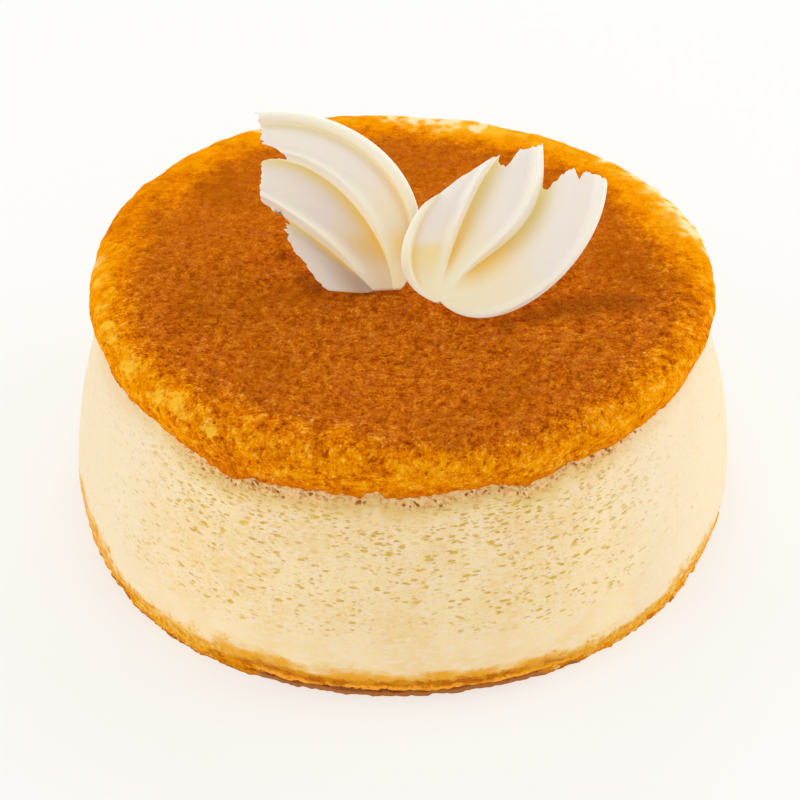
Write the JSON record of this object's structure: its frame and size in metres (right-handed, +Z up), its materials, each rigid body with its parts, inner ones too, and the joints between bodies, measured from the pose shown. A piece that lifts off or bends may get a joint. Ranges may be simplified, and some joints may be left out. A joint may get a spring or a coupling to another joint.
{
  "type": "jiggly cheesecake",
  "caption": "Round baked cheesecake with a browned crust, soft porous sides, a thin sponge base and white chocolate fans standing on top.",
  "frame": {"origin": "middle of the cake's footprint, on the face it rests on", "axes": "+Z up, -Y towards the front, where the fans face; +X to the right seen from the front"},
  "size_m": [0.1536, 0.1548, 0.0953],
  "materials": {
    "cheesecake": "soft pale baked cream with open pores at the side and a browned, slightly glossy crust on top",
    "sponge": "golden crumb with a dark baked underside",
    "white_chocolate": "satin ivory chocolate, yellower in its creases"
  },
  "bodies": {
    "root": {"cheesecake_body": "cheesecake", "sponge_base": "sponge", "chocolate_fan_left": "white_chocolate", "chocolate_fan_right": "white_chocolate"}
  },
  "joints": []
}
